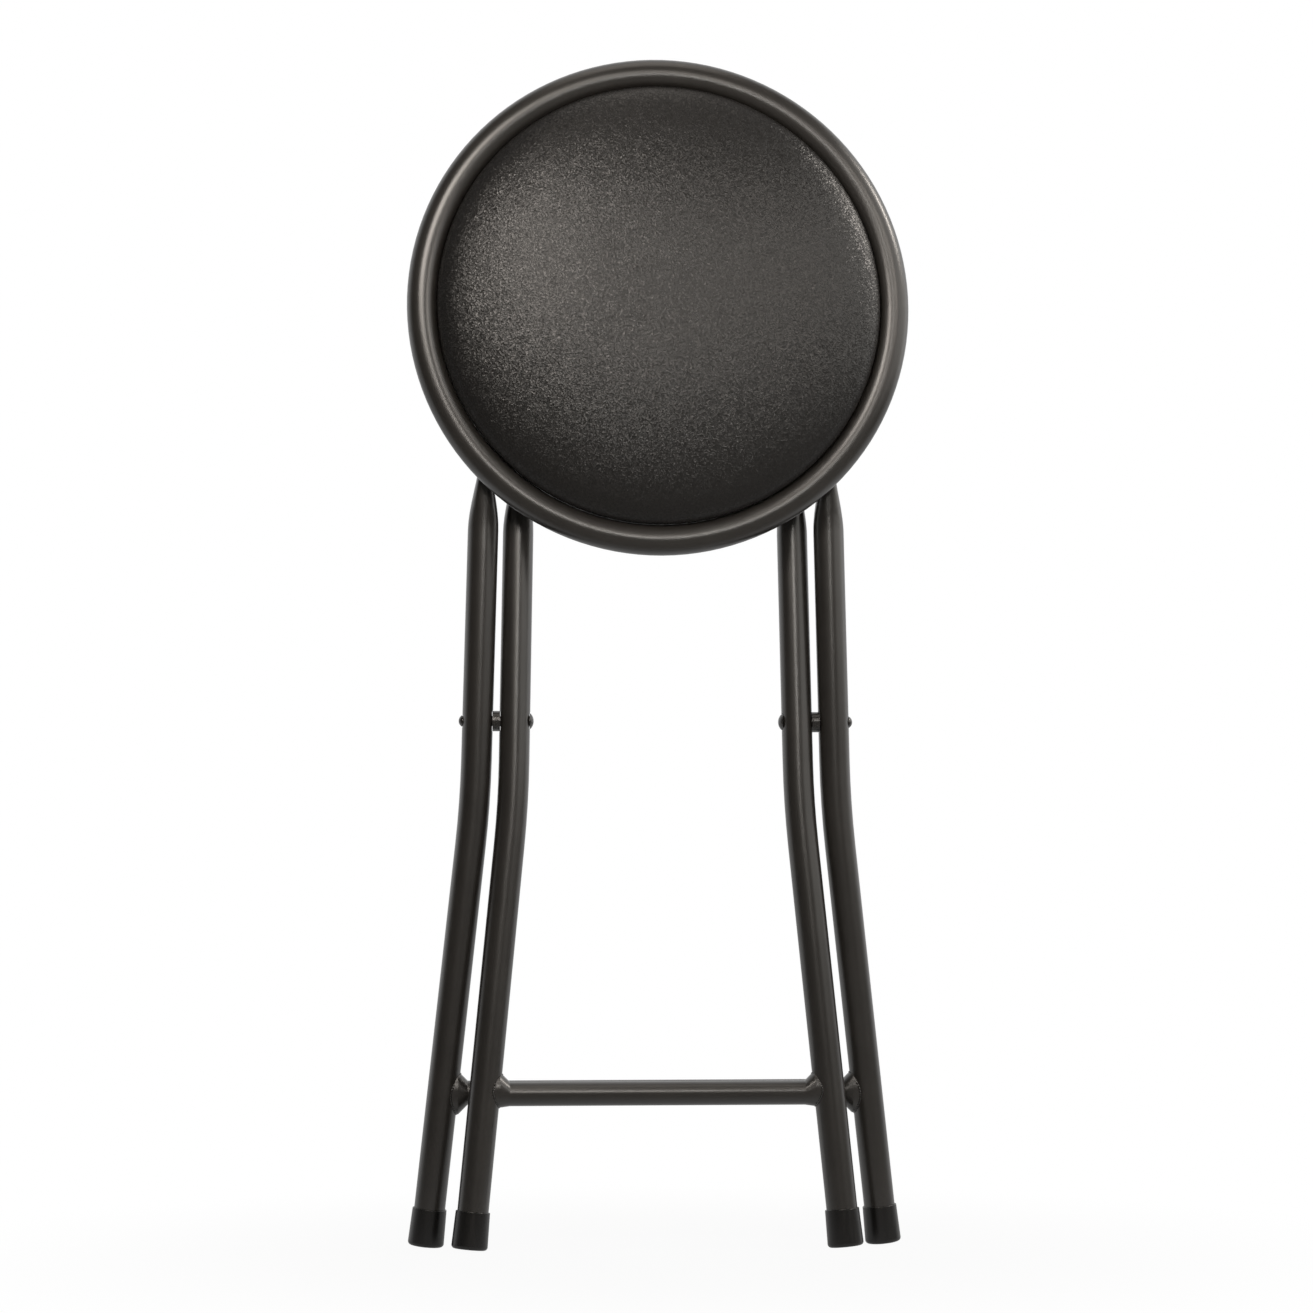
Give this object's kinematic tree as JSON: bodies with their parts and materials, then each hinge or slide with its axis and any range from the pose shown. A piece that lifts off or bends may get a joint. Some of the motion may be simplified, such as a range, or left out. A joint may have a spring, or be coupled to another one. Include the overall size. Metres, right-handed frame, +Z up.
{
  "type": "folding stool",
  "caption": "Folding stool with a round padded seat in a tube ring on a scissor frame of bent round tube with crossbars and plastic foot caps.",
  "frame": {"origin": "on the floor under the middle of the folded stool's box", "axes": "+Z up along the folded stool, -Y out of the seat face, +X to the right of a person who faces the seat face"},
  "size_m": [0.295, 0.0792, 0.6951],
  "materials": {
    "frame": "semi-gloss dark warm grey powder coat",
    "vinyl": "semi-matt black vinyl with a fine grain",
    "board": "bare plywood",
    "foam": "foam",
    "caps": "moulded black plastic",
    "bare_steel": "zinc-plated",
    "dark_steel": "painted over with the frame"
  },
  "bodies": {
    "pivot_pins": {"pivot_rivet_left": "dark_steel", "pivot_rivet_right": "dark_steel", "pivot_spacer_left": "dark_steel", "pivot_spacer_right": "dark_steel"},
    "outer_frame": {"outer_leg_left": "frame", "outer_leg_right": "frame", "outer_crossbar": "frame", "hinge_rivet_left": "dark_steel", "hinge_rivet_right": "dark_steel", "hinge_washer_left": "dark_steel", "hinge_washer_right": "dark_steel", "outer_foot_left": "caps", "outer_foot_right": "caps"},
    "inner_frame": {"inner_leg_left": "frame", "inner_leg_right": "frame", "inner_crossbar": "frame", "catch_rod": "dark_steel", "inner_foot_left": "caps", "inner_foot_right": "caps"},
    "seat": {"seat_ring": "frame", "seat_rail_left": "frame", "seat_rail_right": "frame", "seat_board": "board", "seat_foam": "foam", "seat_cover": "vinyl", "cover_staples": "bare_steel", "board_screws": "bare_steel"}
  },
  "joints": [
    {"name": "fold", "type": "hinge", "parent": "pivot_pins", "child": "outer_frame", "pos_m": [0, 0.01758, 0.30525], "axis": [1, 0, 0], "range_deg": [0, 24.68]},
    {"name": "inner_fold", "type": "hinge", "parent": "pivot_pins", "child": "inner_frame", "pos_m": [0, 0.01758, 0.30525], "axis": [-1, 0, 0], "range_deg": [0, 24.69]},
    {"name": "seat_swing", "type": "hinge", "parent": "outer_frame", "child": "seat", "pos_m": [0, 0.01118, 0.47213], "axis": [-1, 0, 0], "range_deg": [0, 114.69]}
  ],
  "couplings": [
    {"joint": "inner_fold", "follows": "fold", "ratio": 1},
    {"joint": "seat_swing", "follows": "fold", "ratio": 4.646}
  ]
}
